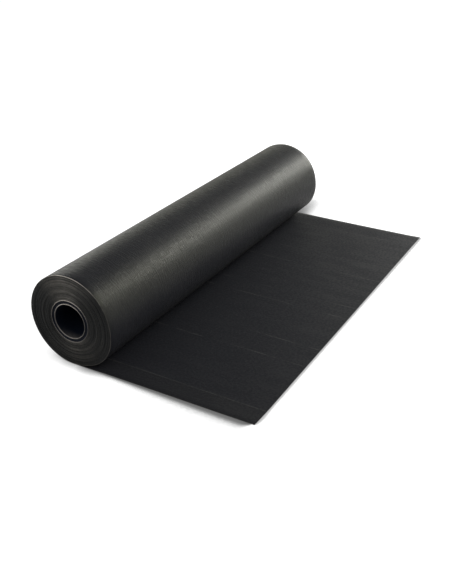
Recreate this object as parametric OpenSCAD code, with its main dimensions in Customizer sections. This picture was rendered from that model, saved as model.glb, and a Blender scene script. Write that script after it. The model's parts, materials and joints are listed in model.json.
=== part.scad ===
// Roll of rubber roofing membrane, wound on a tube, with its loose end laid out on the floor.
// The roll lies along Y and unrolls towards +X. The origin is on the floor, at the centre of the footprint.

/* [Sheet] */
// Width of the sheet, which is also the length of the roll
sheet_width = 1000; // [300:10:2000]
// Thickness of the rubber
sheet_t = 1.2; // [0.8:0.1:3]
// Air that is wound in between one turn and the next
turn_gap = 0.1; // [0.05:0.05:0.4]
// Number of turns on the tube
turns = 42; // [5:1:60]
// Loose end, from the line that the roll stands on to the cut edge
tail_length = 430; // [150:5:1200]

/* [Turn lines] */
// Width of the line between two turns on the ends of the roll, where the cut edges are rounded
line_width = 0.3; // [0.1:0.05:0.6]
// Depth of that line
line_depth = 0.8; // [0.3:0.1:2]

/* [Tube] */
// Bore of the tube that the sheet is wound on
tube_bore_d = 76; // [50:1:155]
// Wall of the tube
tube_wall = 10; // [3:0.5:15]
// Chamfer on the edges of the tube's two ends
tube_chamfer = 1; // [0.4:0.1:1.4]
// Room between the tube and the first turn, all round
tube_fit = 0.1; // [0.05:0.05:0.4]

/* [Hidden] */
$fn = 96;

// The winding is a two-centre spiral: the half turns behind the axis share one centre, and those in front
// of it share another, half a pitch higher. Each half turn is then a true arc, and it runs into the next
// at the top or the bottom of the roll without a step. The outermost one runs into the tail at the bottom,
// and the innermost one ends at the top of the tube.
BACK = 0;
FRONT = 1;
pitch = sheet_t + turn_gap;
tube_r = tube_bore_d / 2 + tube_wall;
seat_r = tube_r + tube_fit;
back_r = seat_r + turns * pitch;
front_r = back_r - pitch / 2;
axis_z = back_r;

half_r = [back_r, front_r];
half_z = [axis_z, axis_z + pitch / 2];
half_start = [90, -90];
half_turns = [turns, turns - 1];

// Puts the middle of the footprint at the origin
roll_x = (back_r - max(tail_length, front_r)) / 2;

// Points of radius and length along one end of a half of the roll, outwards, dipping into each turn line
function end_points(half) = [
    [half_r[half] - half_turns[half] * pitch, sheet_width / 2],
    for (line = [half_turns[half] - 1 : -1 : 1])
        let (r = half_r[half] - line * pitch)
            each [
                [r - line_width / 2, sheet_width / 2],
                [r - line_width / 2, sheet_width / 2 - line_depth],
                [r + line_width / 2, sheet_width / 2 - line_depth],
                [r + line_width / 2, sheet_width / 2],
            ],
    [half_r[half], sheet_width / 2],
];

// The same points on the other end of the roll, in the opposite order
function other_end(points) = [
    for (i = [len(points) - 1 : -1 : 0]) [points[i].x, -points[i].y]
];

// All the half turns on one side of the axis as one body
module wound_half(half) {
    translate([roll_x, 0, half_z[half]])
        rotate([90, 0, 0])
            rotate([0, 0, half_start[half]])
                rotate_extrude(angle = 180)
                    polygon(concat(end_points(half), other_end(end_points(half))));
}

module tail() {
    translate([roll_x, -sheet_width / 2, 0])
        cube([tail_length, sheet_width, sheet_t]);
}

module membrane() {
    color("#262624")
        union() {
            wound_half(BACK);
            wound_half(FRONT);
            tail();
        }
}

// Section of the tube's wall, as radius and length, with its four edges chamfered
module tube_section() {
    difference() {
        translate([tube_bore_d / 2, -sheet_width / 2])
            square([tube_wall, sheet_width]);
        for (edge_r = [tube_bore_d / 2, tube_r], edge_y = [-sheet_width / 2, sheet_width / 2])
            translate([edge_r, edge_y])
                rotate(45)
                    square(tube_chamfer * sqrt(2), center = true);
    }
}

module core_tube() {
    color("#3b3733")
        translate([roll_x, 0, axis_z])
            rotate([90, 0, 0])
                rotate_extrude()
                    tube_section();
}

membrane();
core_tube();
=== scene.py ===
"""Looks of a roll of rubber roofing membrane that lies on a white floor with its loose end laid out.

The sheet is modelled as what it is: one strip of rubber, wound from the tube outwards and run out on the
floor. All lengths are in metres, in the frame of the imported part: Y along the roll, +X the way it unrolls.
"""

import json
import math

import bpy
import numpy as np
from mathutils import Matrix, Vector


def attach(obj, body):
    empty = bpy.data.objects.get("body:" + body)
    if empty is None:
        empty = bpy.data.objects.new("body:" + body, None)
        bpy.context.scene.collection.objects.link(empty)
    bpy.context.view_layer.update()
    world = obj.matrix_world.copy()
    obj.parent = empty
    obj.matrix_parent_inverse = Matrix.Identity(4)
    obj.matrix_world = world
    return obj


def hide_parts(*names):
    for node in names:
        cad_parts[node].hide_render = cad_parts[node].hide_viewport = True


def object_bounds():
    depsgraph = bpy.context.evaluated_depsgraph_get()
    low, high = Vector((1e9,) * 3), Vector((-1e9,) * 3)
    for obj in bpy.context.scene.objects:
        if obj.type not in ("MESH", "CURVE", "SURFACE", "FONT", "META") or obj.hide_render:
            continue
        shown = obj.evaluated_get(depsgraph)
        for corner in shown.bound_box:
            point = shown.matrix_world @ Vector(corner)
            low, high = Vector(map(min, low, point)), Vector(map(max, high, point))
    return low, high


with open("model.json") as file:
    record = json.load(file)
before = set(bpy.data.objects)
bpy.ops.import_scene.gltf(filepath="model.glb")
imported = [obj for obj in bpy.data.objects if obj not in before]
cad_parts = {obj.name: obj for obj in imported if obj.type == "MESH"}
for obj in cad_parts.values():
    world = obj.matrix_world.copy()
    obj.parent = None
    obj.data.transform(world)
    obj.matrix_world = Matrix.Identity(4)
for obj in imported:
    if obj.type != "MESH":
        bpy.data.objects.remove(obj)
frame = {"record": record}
cad_low, cad_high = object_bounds()

MM = 0.001
BLACK = (0, 0, 0, 1)
WHITE = (1, 1, 1, 1)


def mount(name):
    return next(m for m in frame["record"]["mounts"] if m["name"] == name)


# Sizes of the sheet and the tube
SHEET_T = 1.2 * MM
TURN_GAP = 0.1 * MM
TUBE_WALL = 10 * MM
TUBE_FIT = 0.1 * MM
EDGE_CROWN = 0.35 * MM

bore = mount("core_bore")
AXIS_X = bore["pos_m"][0]
AXIS_Z = bore["pos_m"][2]
BORE_R = bore["dims"]["r_mm"] * MM
TUBE_R = BORE_R + TUBE_WALL
SEAT_R = TUBE_R + TUBE_FIT
PITCH = SHEET_T + TURN_GAP
BACK_R = AXIS_Z
FRONT_R = BACK_R - PITCH / 2
TURNS = round((BACK_R - SEAT_R) / PITCH)
ROLL_HALF = (cad_high.y - cad_low.y) / 2
TAIL_END_X = cad_high.x
TAIL_LENGTH = TAIL_END_X - AXIS_X

# How far one turn may stand past the next along the roll, and the sheet that this leaves room for
WANDER = 0.9 * MM
SHEET_HALF = ROLL_HALF - WANDER

# Mesh divisions
INNER_STEPS = 48
EDGE_STEPS = 6
OUTER_STEPS = 96
TAIL_STEPS = 54
FACE_COLUMNS = 64
TUBE_STEPS = 128

# Material slots of the sheet
OUTER_FACE = 0
INNER_FACE = 1
CUT_EDGE = 2


# Shader node helpers
def plug(tree, socket, value):
    """Links an output socket to an input, or sets the input to a constant."""
    if isinstance(value, bpy.types.NodeSocket):
        tree.links.new(value, socket)
    else:
        socket.default_value = value


def add_node(tree, kind, inputs=None, **settings):
    node = tree.nodes.new(kind)
    for name, value in settings.items():
        setattr(node, name, value)
    for name, value in (inputs or {}).items():
        plug(tree, node.inputs[name], value)
    return node


def math_node(tree, operation, a, b=0.0):
    return add_node(tree, "ShaderNodeMath", {0: a, 1: b}, operation=operation).outputs[0]


def add(tree, a, b):
    return math_node(tree, "ADD", a, b)


def multiply(tree, a, b):
    return math_node(tree, "MULTIPLY", a, b)


def blend(tree, a, share, b):
    """The share of a, and the rest of b."""
    return add(tree, multiply(tree, a, share), multiply(tree, b, 1 - share))


def map_range(tree, value, low, high, to_low=0.0, to_high=1.0, smooth=True):
    kind = "SMOOTHSTEP" if smooth else "LINEAR"
    inputs = {"Value": value, "From Min": low, "From Max": high, "To Min": to_low, "To Max": to_high}
    return add_node(tree, "ShaderNodeMapRange", inputs, interpolation_type=kind).outputs[0]


def mix_colour(tree, factor, a, b):
    return add_node(tree, "ShaderNodeMix", {0: factor, 6: a, 7: b}, data_type="RGBA").outputs[2]


def noise(tree, place, cells, detail=2.0, roughness=0.5):
    """Noise with so many cells in a metre: one number for all axes, or one for each."""
    if isinstance(cells, tuple):
        place = add_node(tree, "ShaderNodeMapping", {"Vector": place, "Scale": cells}).outputs[0]
        cells = 1.0
    inputs = {"Vector": place, "Scale": cells, "Detail": detail, "Roughness": roughness}
    return add_node(tree, "ShaderNodeTexNoise", inputs).outputs["Fac"]


def separate(tree, vector):
    return add_node(tree, "ShaderNodeSeparateXYZ", {0: vector}).outputs


def point_value(tree, name):
    return add_node(tree, "ShaderNodeAttribute", attribute_name=name).outputs["Fac"]


def new_material(name):
    material = bpy.data.materials.new(name)
    material.use_nodes = True
    tree = material.node_tree
    return material, tree, tree.nodes["Principled BSDF"]


def dress(tree, shader, look, relief=None, strength=1.0, depth=0.0):
    """Sets the shader's inputs, and the bumps of a surface that has relief."""
    for name, value in look.items():
        plug(tree, shader.inputs[name], value)
    if relief is not None:
        bump = add_node(tree, "ShaderNodeBump", {"Height": relief, "Strength": strength, "Distance": depth})
        plug(tree, shader.inputs["Normal"], bump.outputs[0])


# Object helpers
def in_scene(name, data):
    obj = bpy.data.objects.new(name, data)
    bpy.context.scene.collection.objects.link(obj)
    return obj


def new_mesh(name, points, faces, materials):
    mesh = bpy.data.meshes.new(name)
    mesh.from_pydata(points, [], faces)
    for material in materials:
        mesh.materials.append(material)
    return mesh


def set_point_values(mesh, name, values):
    mesh.attributes.new(name, "FLOAT", "POINT").data.foreach_set("value", values)


def shade_smooth(mesh):
    mesh.polygons.foreach_set("use_smooth", [True] * len(mesh.polygons))


# The span that a noise mostly stays in
NOISE_LOW = 0.3
NOISE_HIGH = 0.7

# Outer face. The cells of a noise are counted across the sheet and along it
GRAIN_CELLS = (300, 42, 1)
HAIR_CELLS = (1300, 130, 1)
OUTER_CLOUD_CELLS = 9.0
GRAIN_SHARE = 0.7
OUTER_DARK = (0.0112, 0.0117, 0.0162, 1)
OUTER_PALE = (0.0144, 0.0148, 0.0194, 1)
OUTER_ROUGH = (0.33, 0.52)
OUTER_ROUGH_CLOUD = (-0.02, 0.02)
OUTER_TINT = (1.0, 0.99, 0.66, 1)
FACE_SPECULAR = 0.22
FACE_RELIEF = 1.2 * MM


def outer_face_material():
    """Satin face that the calender pressed, with a fine grain that runs along the sheet."""
    material, tree, shader = new_material("membrane_outer_face")
    place = add_node(tree, "ShaderNodeUVMap", uv_map="sheet").outputs[0]
    grain = noise(tree, place, GRAIN_CELLS, detail=3.0, roughness=0.6)
    hair = noise(tree, place, HAIR_CELLS)
    cloud = noise(tree, place, OUTER_CLOUD_CELLS, detail=3.0, roughness=0.55)
    tone = map_range(tree, cloud, NOISE_LOW, NOISE_HIGH)
    rough = add(tree, map_range(tree, grain, NOISE_LOW, NOISE_HIGH, *OUTER_ROUGH),
                map_range(tree, cloud, NOISE_LOW, NOISE_HIGH, *OUTER_ROUGH_CLOUD))
    look = {
        "Base Color": mix_colour(tree, tone, OUTER_DARK, OUTER_PALE),
        "Roughness": rough,
        "Specular IOR Level": FACE_SPECULAR,
        "Specular Tint": OUTER_TINT,
    }
    dress(tree, shader, look, blend(tree, grain, GRAIN_SHARE, hair), depth=FACE_RELIEF)
    return material


# Faint streaks along the sheet on its inner face, by their place across the roll
STREAKS_Y = (0.434, 0.262, 0.180, 0.020, -0.036, -0.193, -0.268)
STREAK_WIDTH = 2.2 * MM
STREAK_WOBBLE = 12 * MM
WOBBLE_CELLS = 5.0
BROKEN_CELLS = (30, 14, 1)
BROKEN_SPAN = (0.42, 0.62)
# Line that runs along the sheet beside its near edge, where the edge is bent up a little
LAP_LINE_Y = -0.448
LAP_LINE_WIDTH = 1.8 * MM
FAINT_CELLS = (4, 22, 1)
FAINT_SPAN = (0.3, 0.6)
FAINT_LEVELS = (0.25, 0.9)


def line_mask(tree, y, line_y, width):
    distance = math_node(tree, "ABSOLUTE", math_node(tree, "SUBTRACT", y, line_y))
    return map_range(tree, distance, 0.0, width, 1.0, 0.0)


def streak_mask(tree, place):
    """Broken light lines that the calender left along the sheet, and the line beside its edge."""
    across = separate(tree, place)[0]
    sway = math_node(tree, "SUBTRACT", noise(tree, place, WOBBLE_CELLS), 0.5)
    wavy = add(tree, across, multiply(tree, sway, STREAK_WOBBLE))
    mask = 0.0
    for streak_y in STREAKS_Y:
        mask = math_node(tree, "MAXIMUM", mask, line_mask(tree, wavy, streak_y, STREAK_WIDTH))
    broken = map_range(tree, noise(tree, place, BROKEN_CELLS, detail=3.0), *BROKEN_SPAN)
    faint = map_range(tree, noise(tree, place, FAINT_CELLS, detail=3.0), *FAINT_SPAN, *FAINT_LEVELS)
    lap_line = multiply(tree, line_mask(tree, across, LAP_LINE_Y, LAP_LINE_WIDTH), faint)
    return math_node(tree, "MAXIMUM", multiply(tree, mask, broken), lap_line)


# Inner face
MOTTLE_CELLS = (220, 150, 1)
INNER_CLOUD_CELLS = (34, 9, 1)
FINE_CELLS = (700, 350, 1)
MOTTLE_SHARE = 0.7
MOTTLE_SPAN = (0.42, 0.58)
INNER_DARK = (0.0046, 0.0051, 0.0088, 1)
INNER_PALE = (0.0104, 0.0108, 0.0140, 1)
INNER_ROUGH = (0.71, 0.55)
INNER_TINT = (1.0, 1.0, 0.87, 1)
# Browner, paler strip past the lap line: a painted sheen of the bent-up strip
STRIP_SHEEN_COLOUR = (0.0120, 0.0112, 0.0108, 1)
STRIP_SHEEN_MIX = 0.2
STREAK_COLOUR = (0.045, 0.045, 0.044, 1)
STREAK_MIX = 0.7
STREAK_RELIEF = 0.5
INNER_BUMP = 0.35


def inner_face_material():
    """Matte face that was wound inwards, mottled and faintly streaked."""
    material, tree, shader = new_material("membrane_inner_face")
    place = add_node(tree, "ShaderNodeUVMap", uv_map="sheet").outputs[0]
    mottle = noise(tree, place, MOTTLE_CELLS, detail=4.0, roughness=0.65)
    cloud = noise(tree, place, INNER_CLOUD_CELLS, detail=4.0, roughness=0.55)
    fine = noise(tree, place, FINE_CELLS)
    streaks = streak_mask(tree, place)
    mixed = blend(tree, mottle, MOTTLE_SHARE, cloud)
    colour = mix_colour(tree, map_range(tree, mixed, *MOTTLE_SPAN), INNER_DARK, INNER_PALE)
    across = separate(tree, place)[0]
    # The strip between the lap line and the near edge gets a painted sheen
    strip = map_range(tree, across, LAP_LINE_Y - LAP_LINE_WIDTH, LAP_LINE_Y + LAP_LINE_WIDTH, STRIP_SHEEN_MIX, 0.0)
    colour = mix_colour(tree, strip, colour, STRIP_SHEEN_COLOUR)
    look = {
        "Base Color": mix_colour(tree, multiply(tree, streaks, STREAK_MIX), colour, STREAK_COLOUR),
        "Roughness": map_range(tree, mixed, *MOTTLE_SPAN, *INNER_ROUGH),
        "Specular IOR Level": FACE_SPECULAR,
        "Specular Tint": INNER_TINT,
    }
    relief = add(tree, blend(tree, mottle, MOTTLE_SHARE, fine), multiply(tree, streaks, STREAK_RELIEF))
    dress(tree, shader, look, relief, INNER_BUMP, FACE_RELIEF)
    return material


# Cut edges
DUST_CELLS = 45.0
DUST_LEVELS = (0.7, 1.3)
# Pale colour of the turns' own tones and of the painted highlight on the edges
EDGE_TONE_AND_SHEEN_COLOUR = (1.0, 0.93, 0.83, 1)
EDGE_TINT = (0.92, 0.97, 1.0, 1)
EDGE_ROUGHNESS = 0.42
EDGE_SPECULAR = 0.3


def cut_edge_material():
    """Knife-cut edges of the turns, each a little different, with a painted highlight towards the top and
    the bottom of the ends.
    """
    material, tree, shader = new_material("membrane_cut_edge")
    place = add_node(tree, "ShaderNodeTexCoord").outputs["Object"]
    specks = noise(tree, place, DUST_CELLS, detail=4.0, roughness=0.6)
    dust = map_range(tree, specks, NOISE_LOW, NOISE_HIGH, *DUST_LEVELS)
    tone = multiply(tree, point_value(tree, "edge_tone"), dust)
    look = {
        "Base Color": mix_colour(tree, tone, BLACK, EDGE_TONE_AND_SHEEN_COLOUR),
        "Roughness": EDGE_ROUGHNESS,
        "Specular IOR Level": EDGE_SPECULAR,
        "Specular Tint": EDGE_TINT,
    }
    dress(tree, shader, look)
    return material


# Waves in the ends of the roll, as height, radians a turn and phase, and rings of turns that stand back
EDGE_WAVES = ((0.28 * MM, 0.61, 0.4), (0.16 * MM, 1.73, 2.1), (0.10 * MM, 5.3, 1.0))
RING_RADII = (0.056, 0.061, 0.070, 0.077, 0.087, 0.094)
RING_DEPTH = 0.7 * MM
RING_TURNS = 1.1
# Tones of the cut edges: of the turns and of the outermost one, with a painted highlight towards the top and
# the bottom
TONE_SEED = 7
TURN_TONES = (0.0005, 0.014)
# Random scale of the painted highlight from turn to turn
TURN_SHEEN_SCALES = (0.35, 1.65)
OPEN_TONE = 0.05
# Painted highlight along the top of the outermost turn's edges
OPEN_PAINTED_SHEEN = 0.75
OPEN_SHEEN_ANGLE = math.radians(85)
OPEN_SHEEN_POWER = 9
OPEN_TURNS = 1.5
# Painted highlight on the cut edges towards the top and towards the bottom of the ends
PAINTED_SHEEN_TOP = 0.072
PAINTED_SHEEN_TOP_ANGLE = math.radians(97)
PAINTED_SHEEN_TOP_POWER = 6
PAINTED_SHEEN_BOTTOM = 0.065
PAINTED_SHEEN_BOTTOM_ANGLE = math.radians(-80)
PAINTED_SHEEN_BOTTOM_POWER = 3
# The strip beside the near edge of the loose end is bent up from the line along it, most at the corner
LIFT_BY_ROLL = 0.9 * MM
LIFT_AT_CORNER = 2.6 * MM
BEND_SOFTNESS = 8 * MM
# The cut end curls up a little, more towards the far corner
CURL = 1.0 * MM
CURL_REACH = 25 * MM
CURL_MIDDLE = 0.6
CURL_SLOPE = 0.9
CURL_LEAST = 0.2
# Slight waves of the loose end, which lies flat under the roll
RIPPLE = 0.2 * MM
RIPPLE_SLANT_X = 5.0
RIPPLE_SLANT_Y = 9.0
RIPPLE_X = 14.0
RIPPLE_PHASE = 1.3
FLAT_BY_ROLL = 80 * MM
# Looseness of the outermost turn
SWELL = 0.12 * MM
SWELL_SLANT_ANGLE = 2.0
SWELL_SLANT_Y = 7.0
SWELL_Y = 3.0
SWELL_PHASE = -1.0
SWELL_MIDDLE = 0.5
SWELL_SLOPE = 0.75
# The roll has settled under its own weight, and stands out low down on the side of the loose end
SETTLED = 4.9 * MM
SETTLED_SPAN = math.radians(110)
SETTLED_POWER = 4
SHARP_ANGLE = math.radians(30)


def above_zero(value, power):
    return max(0.0, value) ** power


def stands_back(turn):
    """Share of a ring's depth that a turn has. turn counts from the tube outwards."""
    ring_turns = [(radius - SEAT_R) / PITCH for radius in RING_RADII]
    return sum(math.exp(-((turn - ring_turn) / RING_TURNS) ** 2) for ring_turn in ring_turns)


def edge_shift(turn):
    """How far a turn stands past the others along the roll."""
    shift = sum(height * math.sin(turn * rate + phase) for height, rate, phase in EDGE_WAVES)
    return min(max(shift - RING_DEPTH * stands_back(turn), -WANDER), WANDER)


def edge_tone_and_painted_sheen(angle, turn):
    """Painted highlight on a cut edge, by its place round the roll and its turn, with the plain tone of the
    outermost turns.

    At the bottom the turns that stand back get none of the painted highlight, which paints the set-back
    rings darker.
    """
    if turn > TURNS - OPEN_TURNS:
        return OPEN_TONE + OPEN_PAINTED_SHEEN * above_zero(math.cos(angle - OPEN_SHEEN_ANGLE), OPEN_SHEEN_POWER)
    top = above_zero(math.cos(angle - PAINTED_SHEEN_TOP_ANGLE), PAINTED_SHEEN_TOP_POWER)
    bottom = above_zero(math.cos(angle - PAINTED_SHEEN_BOTTOM_ANGLE), PAINTED_SHEEN_BOTTOM_POWER) * (1 - turn / TURNS)
    return PAINTED_SHEEN_TOP * top + PAINTED_SHEEN_BOTTOM * bottom * max(0.0, 1 - stands_back(turn))


def tail_lift(x, y):
    """How far the loose end stands off the floor."""
    strip = LAP_LINE_Y + SHEET_HALF
    along = np.clip((x - AXIS_X) / TAIL_LENGTH, 0, 1)
    height = LIFT_BY_ROLL + (LIFT_AT_CORNER - LIFT_BY_ROLL) * along
    past_line = BEND_SOFTNESS * np.logaddexp(0, (LAP_LINE_Y - y) / BEND_SOFTNESS)
    curl_share = np.clip(CURL_MIDDLE + CURL_SLOPE * y, CURL_LEAST, 1)
    curl = CURL * np.exp((x - TAIL_END_X) / CURL_REACH) * curl_share
    slant = np.sin(RIPPLE_SLANT_Y * y + RIPPLE_SLANT_X * x)
    ripple = RIPPLE * (1 + slant * np.sin(RIPPLE_X * x + RIPPLE_PHASE))
    clear_of_roll = np.clip((x - AXIS_X) / FLAT_BY_ROLL, 0, 1) ** 2
    return (height * past_line / strip + curl + ripple) * clear_of_roll


def roll_swell(angle, y):
    """Slight looseness of the outermost turn, away from where it stands on the floor."""
    clear = np.clip(SWELL_MIDDLE + SWELL_SLOPE * np.sin(angle), 0, 1)
    slant = np.sin(SWELL_SLANT_Y * y + SWELL_SLANT_ANGLE * angle)
    return SWELL * clear * (1 + slant * np.sin(SWELL_Y * y + SWELL_PHASE))


def settled_radius(angle, radius):
    """Radius of a turn in the settled roll. The bulge starts at the bottom and grows outwards."""
    from_bottom = (angle + math.pi / 2) % (2 * math.pi)
    share = min(from_bottom / SETTLED_SPAN, 1.0)
    return radius + SETTLED * (radius / BACK_R) ** SETTLED_POWER * math.sin(math.pi * share) ** 2


def winding_stations():
    """Angle, radius, centre height, turn and mesh columns at each step along the wound sheet, outwards."""
    halves = []
    for turn in range(TURNS - 1, -1, -1):
        halves.append((90, BACK_R - turn * PITCH, AXIS_Z, TURNS - 1 - turn))
        if turn > 0:
            halves.append((270, FRONT_R - (turn - 1) * PITCH, AXIS_Z + PITCH / 2, TURNS - 0.5 - turn))
    stations = []
    for index, (start, radius, height, first_turn) in enumerate(halves):
        outermost = index >= len(halves) - 2
        steps = OUTER_STEPS if outermost else INNER_STEPS
        columns = FACE_COLUMNS if outermost else 1
        for step in range(steps):
            share = step / steps
            angle = math.radians(start + 180 * share)
            stations.append((angle, settled_radius(angle, radius), height, first_turn + share / 2, columns))
    return stations


def sheet_section(columns, out_point, in_point, shift):
    """Points round one cross-section: outer face, far edge, inner face back again, near edge.

    The cut edges bulge a little where the turns are pressed together, as half an ellipse.
    """
    out_point = np.asarray(out_point)
    in_point = np.asarray(in_point)
    half = SHEET_HALF - EDGE_CROWN
    face = np.linspace(-half, half, columns + 1)
    bulge = [math.pi * step / EDGE_STEPS for step in range(1, EDGE_STEPS)]
    far_edge = [(half + EDGE_CROWN * math.sin(a), (1 - math.cos(a)) / 2) for a in bulge]
    ring = [(y, 0.0) for y in face]
    ring += far_edge
    ring += [(y, 1.0) for y in reversed(face)]
    ring += [(-y, share) for y, share in reversed(far_edge)]
    y = np.array([r[0] for r in ring]) + shift
    share = np.array([r[1] for r in ring])
    middle = out_point + share[:, None] * (in_point - out_point)
    return np.stack((middle[:, 0], y, middle[:, 1]), 1)


def wound_section(angle, radius, height, turn, columns):
    """One cross-section of the wound sheet, and the middle of its thickness."""
    normal = np.array((math.cos(angle), math.sin(angle)))
    centre = np.array((AXIS_X, height))
    out_point = centre + normal * radius
    in_point = centre + normal * (radius - SHEET_T)
    section = sheet_section(columns, out_point, in_point, edge_shift(turn))
    if columns > 1:
        swell = roll_swell(angle, section[:, 1])
        section[:, 0] += normal[0] * swell
        section[:, 2] += normal[1] * swell
    return section, (out_point + in_point) / 2


def between_turns(values, turn):
    whole = int(turn)
    part = turn - whole
    return values[whole] * (1 - part) + values[whole + 1] * part


def build_sheet():
    """Cross-sections from the tube outwards, with the place along the sheet, tone and columns of each."""
    sections = []
    runs = []
    tones = []
    columns_of = []
    run = 0.0
    previous = None
    rng = np.random.default_rng(TONE_SEED)
    turn_tones = rng.uniform(*TURN_TONES, TURNS + 2)
    turn_sheen_scales = rng.uniform(*TURN_SHEEN_SCALES, TURNS + 2)
    turn_sheen_scales[TURNS - 2:] = 1.0
    for angle, radius, height, turn, columns in winding_stations():
        section, middle = wound_section(angle, radius, height, turn, columns)
        run += 0.0 if previous is None else float(np.linalg.norm(middle - previous))
        previous = middle
        sections.append(section)
        runs.append(run)
        # Tone of the outermost turns and the painted highlight on the cut edges, scaled at random from turn
        # to turn
        tone_and_sheen = between_turns(turn_sheen_scales, turn) * edge_tone_and_painted_sheen(angle, turn)
        tones.append(between_turns(turn_tones, turn) + tone_and_sheen)
        columns_of.append(columns)
    wound = run + float(np.linalg.norm(np.array((AXIS_X, SHEET_T / 2)) - previous))
    tail_x = [*np.linspace(AXIS_X, TAIL_END_X - EDGE_CROWN, TAIL_STEPS), TAIL_END_X]
    for x in tail_x:
        pinch = EDGE_CROWN if x == tail_x[-1] else 0.0
        section = sheet_section(FACE_COLUMNS, (x, pinch), (x, SHEET_T - pinch), edge_shift(TURNS))
        section[:, 2] += tail_lift(section[:, 0], section[:, 1])
        sections.append(section)
        runs.append(wound + x - AXIS_X)
        tones.append(OPEN_TONE)
        columns_of.append(FACE_COLUMNS)
    return sections, np.array(runs) - wound, tones, columns_of


def sheet_faces(sections, columns_of):
    """Faces between one cross-section and the next, and over the sheet's two ends, with the kind of each."""
    starts = np.concatenate(([0], np.cumsum([len(s) for s in sections])))
    faces = []
    kinds = []

    def face(kind, *corners):
        faces.append([int(c) for c in corners])
        kinds.append(kind)

    def sides(start, columns):
        """Vertices of one cross-section: outer face, far edge, inner face, near edge."""
        inner = start + columns + EDGE_STEPS
        far = range(start + columns, inner + 1)
        near = [*range(inner + columns, inner + columns + EDGE_STEPS), start]
        return range(start, start + columns + 1), far, range(inner, inner + columns + 1), near

    for i in range(len(sections) - 1):
        here = sides(starts[i], columns_of[i])
        ahead = sides(starts[i + 1], columns_of[i + 1])
        for kind, a, b in zip((OUTER_FACE, CUT_EDGE, INNER_FACE, CUT_EDGE), here, ahead):
            if len(a) == len(b):
                for j in range(len(a) - 1):
                    face(kind, a[j], b[j], b[j + 1], a[j + 1])
            else:
                face(kind, a[0], *b, a[1])
    for end in (0, len(sections) - 1):
        outer, far, inner, near = sides(starts[end], columns_of[end])
        back = inner[::-1]
        caps = [(outer[j], outer[j + 1], back[j + 1], back[j]) for j in range(len(outer) - 1)]
        caps += [tuple(far), tuple(near)]
        for cap in caps:
            face(CUT_EDGE, *(cap if end == 0 else cap[::-1]))
    return faces, kinds


def make_membrane():
    sections, runs, tones, columns_of = build_sheet()
    faces, kinds = sheet_faces(sections, columns_of)
    points = np.concatenate(sections)
    materials = (outer_face_material(), inner_face_material(), cut_edge_material())
    mesh = new_mesh("membrane_sheet", points.tolist(), faces, materials)
    mesh.polygons.foreach_set("material_index", kinds)
    shade_smooth(mesh)
    counts = [len(s) for s in sections]
    set_point_values(mesh, "edge_tone", np.repeat(tones, counts))
    corner = np.zeros(len(mesh.loops), int)
    mesh.loops.foreach_get("vertex_index", corner)
    flat = np.stack((points[:, 1], np.repeat(runs, counts)), 1)
    mesh.uv_layers.new(name="sheet").data.foreach_set("uv", flat[corner].ravel())
    mesh.set_sharp_from_angle(angle=SHARP_ANGLE)
    sheet = in_scene("membrane_sheet", mesh)
    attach(sheet, "root")
    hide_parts("membrane")


# The tube
BOARD_DARK = (0.003, 0.005, 0.011, 1)
# Pale colour of the scuffed rims, of their painted highlight and of the painted light in the bore
BOARD_SCUFF_AND_PAINTED_LIGHT = (1.0, 0.92, 0.82, 1)
BOARD_ROUGHNESS = 0.6
BOARD_SPECULAR = 0.15
BOARD_BUMP = 0.15
BOARD_RELIEF = 0.4 * MM
FIBRE_CELLS = 260.0
FIBRE_SPAN = (0.2, 0.7)
FIBRE_LEVELS = (0.75, 1.25)


def board_material():
    """Dark wound paperboard with scuffed pale rims, a painted highlight on them towards the top and the
    bottom, and painted light at the bottom of the bore's mouth.
    """
    material, tree, shader = new_material("core_board")
    place = add_node(tree, "ShaderNodeTexCoord").outputs["Object"]
    fibre = noise(tree, place, FIBRE_CELLS, detail=3.0, roughness=0.6)
    uneven = map_range(tree, fibre, *FIBRE_SPAN, *FIBRE_LEVELS)
    scuff_and_painted_light = multiply(tree, point_value(tree, "board_tone"), uneven)
    look = {
        "Base Color": mix_colour(tree, scuff_and_painted_light, BOARD_DARK, BOARD_SCUFF_AND_PAINTED_LIGHT),
        "Roughness": BOARD_ROUGHNESS,
        "Specular IOR Level": BOARD_SPECULAR,
    }
    dress(tree, shader, look, fibre, BOARD_BUMP, BOARD_RELIEF)
    return material


# Half of the tube's section, from the middle of the bore round the end to the outside: radius past the bore
# and depth below the end in millimetres, and tone. Two rims are scuffed, and the board between is set back
RIM = 0.5
DARK = 0.004
# The tones in the mouth of the bore are painted light, which the tube shows only at its bottom
END_PROFILE = (
    (0.0, 120.0, 0.0), (0.0, 60.0, 0.0), (0.0, 22.0, 0.0), (0.0, 14.0, 0.02), (0.0, 1.6, 0.06),
    (0.15, 0.7, RIM), (0.55, 0.15, RIM), (1.1, 0.0, RIM), (1.65, 0.15, RIM), (2.1, 0.7, 0.04),
    (2.3, 1.6, DARK), (2.6, 3.0, DARK), (7.9, 3.0, DARK), (8.2, 1.6, DARK), (8.4, 0.7, 0.04),
    (8.8, 0.15, RIM), (9.3, 0.0, RIM), (9.7, 0.15, RIM), (9.95, 0.7, RIM), (10.0, 1.6, 0.03),
    (10.0, 12.0, DARK),
)
# Share of a rim's tone all round, and a painted highlight that adds more of it towards the top and the
# bottom
RIM_SIDES = 0.2
RIM_SHEEN_TOP = 0.8
RIM_SHEEN_BOTTOM = 0.3
RIM_SHEEN_POWER = 2
# How the painted light in the mouth of the bore gathers at its bottom
BORE_LIGHT_POWER = 6


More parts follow.
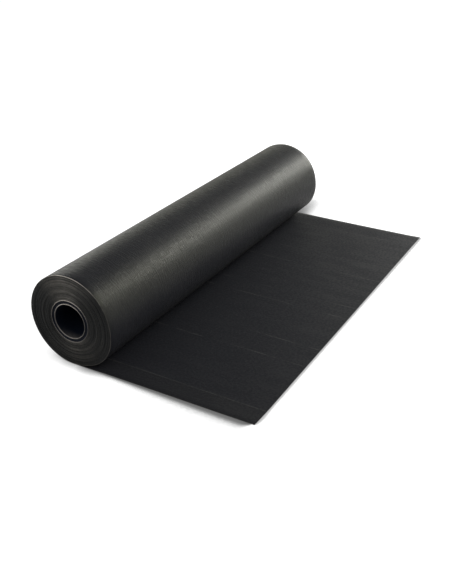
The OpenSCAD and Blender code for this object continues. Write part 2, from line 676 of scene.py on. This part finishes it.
def make_tube():
    near = [(BORE_R + r * MM, -ROLL_HALF + depth * MM, tone) for r, depth, tone in END_PROFILE]
    far = [(r, -y, tone) for r, y, tone in reversed(near)]
    ring = near + far
    points = []
    tones = []
    for step in range(TUBE_STEPS):
        angle = 2 * math.pi * step / TUBE_STEPS
        # Painted highlight on the rims towards the top and towards the bottom
        top = above_zero(math.cos(angle - PAINTED_SHEEN_TOP_ANGLE), RIM_SHEEN_POWER)
        bottom = above_zero(-math.sin(angle), RIM_SHEEN_POWER)
        tone_and_sheen = RIM_SIDES + RIM_SHEEN_TOP * top + RIM_SHEEN_BOTTOM * bottom
        # Painted light at the bottom of the bore's mouth
        bore_light = above_zero(-math.sin(angle), BORE_LIGHT_POWER)
        for r, y, tone in ring:
            points.append((AXIS_X + r * math.cos(angle), y, AXIS_Z + r * math.sin(angle)))
            tones.append(tone * (tone_and_sheen if r > BORE_R else bore_light))
    count = len(ring)
    faces = []
    for step in range(TUBE_STEPS):
        a = step * count
        b = (step + 1) % TUBE_STEPS * count
        for j in range(count):
            k = (j + 1) % count
            faces.append((a + j, a + k, b + k, b + j))
    mesh = new_mesh("core_tube_board", points, faces, [board_material()])
    shade_smooth(mesh)
    set_point_values(mesh, "board_tone", tones)
    tube = in_scene("core_tube_board", mesh)
    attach(tube, "root")
    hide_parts("core_tube")


# The stage: a white floor, and its own glow as the camera sees it and as it is mirrored in the object
FLOOR_HALF = 14.0
FLOOR_DROP = 0.2 * MM
FLOOR_COLOUR = (0.5, 0.5, 0.5, 1)
GLOW_SEEN = 0.9
GLOW_MIRRORED = 0.15
SHADE_SAMPLES = 16
# Painted dark shade close to the roll. Pairs of lengths are places along X, counted from the roll's axis
CONTACT_REACH = 25 * MM
CONTACT_FLOOR = 0.15
CONTACT_POWER = 1.6
CONTACT_STARTS = (-75 * MM, -5 * MM)
CONTACT_ENDS = (30 * MM, 160 * MM)
# Painted shade, as light from the right would leave it, along the near edge of the loose end and behind the
# far end of the roll
SHADE_FROM = (0.42, 0.55, 0.72)
NEAR_REACH = 80 * MM
NEAR_REACH_BY_ROLL = 24 * MM
NEAR_REACH_GROWS = (20 * MM, 300 * MM)
NEAR_POWER = 15.0
NEAR_POWER_GROWS = (10 * MM, 330 * MM)
NEAR_FADES_BEFORE_END = 32 * MM
NEAR_STOPS_BEFORE_END = 6 * MM
FAR_REACH = 150 * MM
FAR_POWER_BY_ROLL = 6.0
FAR_POWER_BY_TAIL = 1.0
FAR_FADES = (45 * MM, 100 * MM)
FAR_STARTS = (-140 * MM, -20 * MM)
FAR_BEFORE_FAR_END = 60 * MM
# Painted pale shade beside the cut end and behind the roll
PALE_REACH = 40 * MM
PALE_FLOOR = 0.42
PALE_POWER = 60.0
PALE_POWER_BY_ROLL = 0.8
PALE_BEFORE_CUT_END = 30 * MM
PALE_PAST_NEAR_END = 80 * MM
PALE_BEHIND = (-60 * MM, -30 * MM)


def from_axis(tree, x, span, first, last, smooth=True):
    """Goes from the first value to the last over a span of x that is counted from the roll's axis."""
    return map_range(tree, x, AXIS_X + span[0], AXIS_X + span[1], first, last, smooth)


def openness(tree, reach, power, **inputs):
    """Share of the surroundings that is clear of anything nearer than the reach, to a power."""
    inputs["Distance"] = reach
    node = add_node(tree, "ShaderNodeAmbientOcclusion", inputs, samples=SHADE_SAMPLES)
    return math_node(tree, "POWER", node.outputs["AO"], power)


def side_openness(tree, x, y):
    """Openness towards SHADE_FROM, the side that the painted shade takes as lit, on the near side and on the
    far side of the part.
    """
    near_power = from_axis(tree, x, NEAR_POWER_GROWS, 0.0, NEAR_POWER, smooth=False)
    near_reach = from_axis(tree, x, NEAR_REACH_GROWS, NEAR_REACH_BY_ROLL, NEAR_REACH, smooth=False)
    inside_corner = map_range(tree, x, TAIL_END_X - NEAR_FADES_BEFORE_END,
                              TAIL_END_X - NEAR_STOPS_BEFORE_END, 1.0, 0.0)
    far_power = from_axis(tree, x, FAR_FADES, FAR_POWER_BY_ROLL, FAR_POWER_BY_TAIL)
    behind_end = multiply(tree, from_axis(tree, x, FAR_STARTS, 0.0, 1.0),
                          map_range(tree, y, ROLL_HALF - FAR_BEFORE_FAR_END, ROLL_HALF))
    far = math_node(tree, "GREATER_THAN", y, 0.0)

    def by_side(near_value, far_value):
        return map_range(tree, far, 0.0, 1.0, near_value, far_value, smooth=False)

    power = by_side(multiply(tree, near_power, inside_corner), multiply(tree, far_power, behind_end))
    from_x, from_y, from_z = SHADE_FROM
    towards = {0: from_x, 1: by_side(from_y, -from_y), 2: from_z}
    light = add_node(tree, "ShaderNodeCombineXYZ", towards).outputs[0]
    return openness(tree, by_side(near_reach, FAR_REACH), power, Normal=light)


def pale_openness(tree, x, y):
    beside_end = map_range(tree, x, TAIL_END_X - PALE_BEFORE_CUT_END, TAIL_END_X, 0.0, PALE_POWER)
    past_near_end = map_range(tree, y, -ROLL_HALF, -ROLL_HALF + PALE_PAST_NEAR_END)
    by_end = multiply(tree, beside_end, past_near_end)
    behind = from_axis(tree, x, PALE_BEHIND, PALE_POWER_BY_ROLL, 0.0)
    return openness(tree, PALE_REACH, math_node(tree, "MAXIMUM", by_end, behind))


def make_floor():
    """White floor with painted shade, darker in its colour and its glow where something stands close to it.
    """
    material, tree, shader = new_material("floor_white")
    tree.nodes.remove(shader)
    x, y, _ = separate(tree, add_node(tree, "ShaderNodeNewGeometry").outputs["Position"])
    by_roll = multiply(tree, from_axis(tree, x, CONTACT_ENDS, CONTACT_POWER, 0.0),
                       from_axis(tree, x, CONTACT_STARTS, 0.0, 1.0))
    clear = multiply(tree, openness(tree, CONTACT_REACH, by_roll), side_openness(tree, x, y))
    dark = map_range(tree, clear, 0, 1, CONTACT_FLOOR, 1, smooth=False)
    pale = map_range(tree, pale_openness(tree, x, y), 0, 1, PALE_FLOOR, 1, smooth=False)
    painted_shade = multiply(tree, dark, pale)
    path = add_node(tree, "ShaderNodeLightPath").outputs
    mirrored = math_node(tree, "MAXIMUM", path["Is Glossy Ray"], path["Is Transmission Ray"])
    seen = multiply(tree, path["Is Camera Ray"], GLOW_SEEN)
    level = add(tree, seen, multiply(tree, mirrored, GLOW_MIRRORED))
    glow = add_node(tree, "ShaderNodeEmission", {"Strength": multiply(tree, level, painted_shade)})
    colour = mix_colour(tree, painted_shade, BLACK, FLOOR_COLOUR)
    diffuse = add_node(tree, "ShaderNodeBsdfDiffuse", {"Color": colour})
    both = add_node(tree, "ShaderNodeAddShader", {0: diffuse.outputs[0], 1: glow.outputs[0]})
    tree.links.new(both.outputs[0], tree.nodes["Material Output"].inputs["Surface"])
    s = FLOOR_HALF
    corners = [(-s, -s, 0), (s, -s, 0), (s, s, 0), (-s, s, 0)]
    floor = in_scene("floor", new_mesh("floor", corners, [(0, 1, 2, 3)], [material]))
    floor.location.z = -FLOOR_DROP


# Strength of the surroundings: all over, and low down at the back. Low down they are tinted
DOME_LEVEL = 0.2
HORIZON_LEVEL = 1.15
HORIZON_TINT = (1, 0.995, 0.82, 1)
HORIZON_UP = (0.05, 0.42)
HORIZON_BACK = (-0.1, 0.5)


def make_world():
    world = bpy.data.worlds.new("studio")
    world.use_nodes = True
    bpy.context.scene.world = world
    tree = world.node_tree
    background = tree.nodes["Background"]
    _, y, up = separate(tree, add_node(tree, "ShaderNodeTexCoord").outputs["Generated"])
    low = map_range(tree, up, *HORIZON_UP, 1.0, 0.0)
    behind = map_range(tree, y, *HORIZON_BACK)
    level = add(tree, multiply(tree, multiply(tree, low, behind), HORIZON_LEVEL), DOME_LEVEL)
    camera = add_node(tree, "ShaderNodeLightPath").outputs["Is Camera Ray"]
    tint = mix_colour(tree, low, WHITE, HORIZON_TINT)
    plug(tree, background.inputs["Color"], mix_colour(tree, camera, tint, WHITE))
    plug(tree, background.inputs["Strength"], math_node(tree, "MAXIMUM", level, camera))


# Softboxes round the middle of the roll: azimuth (0 is +Y, 90 is +X), elevation, width, height, watts
LAMP_DISTANCE = 2.6
LAMPS = {
    "key_back": (16, 16.5, 0.85, 0.65, 29.0),
    "broad_right": (70, 42, 1.8, 1.2, 29.0),
    "side_right": (105, 45, 1.4, 1.2, 7.0),
    "glow_left_mid": (298, 22, 0.8, 0.7, 3.0),
    "glow_left_low": (300, 8, 0.8, 0.5, 3.7),
    "fill_front_left": (190, 33, 2.2, 1.2, 23.0),
}


def make_lamps():
    target = Vector((AXIS_X, 0.0, AXIS_Z))
    for name, (azimuth, elevation, width, height, watts) in LAMPS.items():
        light = bpy.data.lights.new(name, "AREA")
        light.shape = "RECTANGLE"
        light.size = width
        light.size_y = height
        light.energy = watts
        lamp = in_scene(name, light)
        a = math.radians(azimuth)
        e = math.radians(elevation)
        away = Vector((math.sin(a) * math.cos(e), math.cos(a) * math.cos(e), math.sin(e)))
        lamp.location = target + away * LAMP_DISTANCE
        lamp.rotation_mode = "QUATERNION"
        lamp.rotation_quaternion = (-away).to_track_quat("-Z", "Y")


# The camera of the photo, round the point that it looks at
CAMERA_AZIMUTH = math.radians(29.6528)
CAMERA_ELEVATION = math.radians(27.8686)
CAMERA_ROLL = math.radians(0.1583)
CAMERA_DISTANCE = 1.7566
CAMERA_TARGET = Vector((AXIS_X + 0.21035, -0.22261, 0.1))
IMAGE_LONG_SIDE = 584
FOCAL_LENGTH_PX = 799.2
SENSOR_MM = 36.0


def make_camera():
    data = bpy.data.cameras.new("camera")
    data.sensor_width = SENSOR_MM
    data.lens = FOCAL_LENGTH_PX / IMAGE_LONG_SIDE * SENSOR_MM
    data.clip_start = 0.01
    data.clip_end = 100
    camera = in_scene("camera", data)
    turn = Matrix.Rotation(CAMERA_AZIMUTH, 4, "Z") @ Matrix.Rotation(math.pi / 2 - CAMERA_ELEVATION, 4, "X")
    turn = turn @ Matrix.Rotation(CAMERA_ROLL, 4, "Z")
    back = turn @ Vector((0, 0, CAMERA_DISTANCE))
    camera.matrix_world = Matrix.Translation(CAMERA_TARGET + back) @ turn
    bpy.context.scene.camera = camera


make_membrane()
make_tube()
make_floor()
make_world()
make_lamps()
make_camera()
bpy.context.scene.view_settings.view_transform = "Standard"
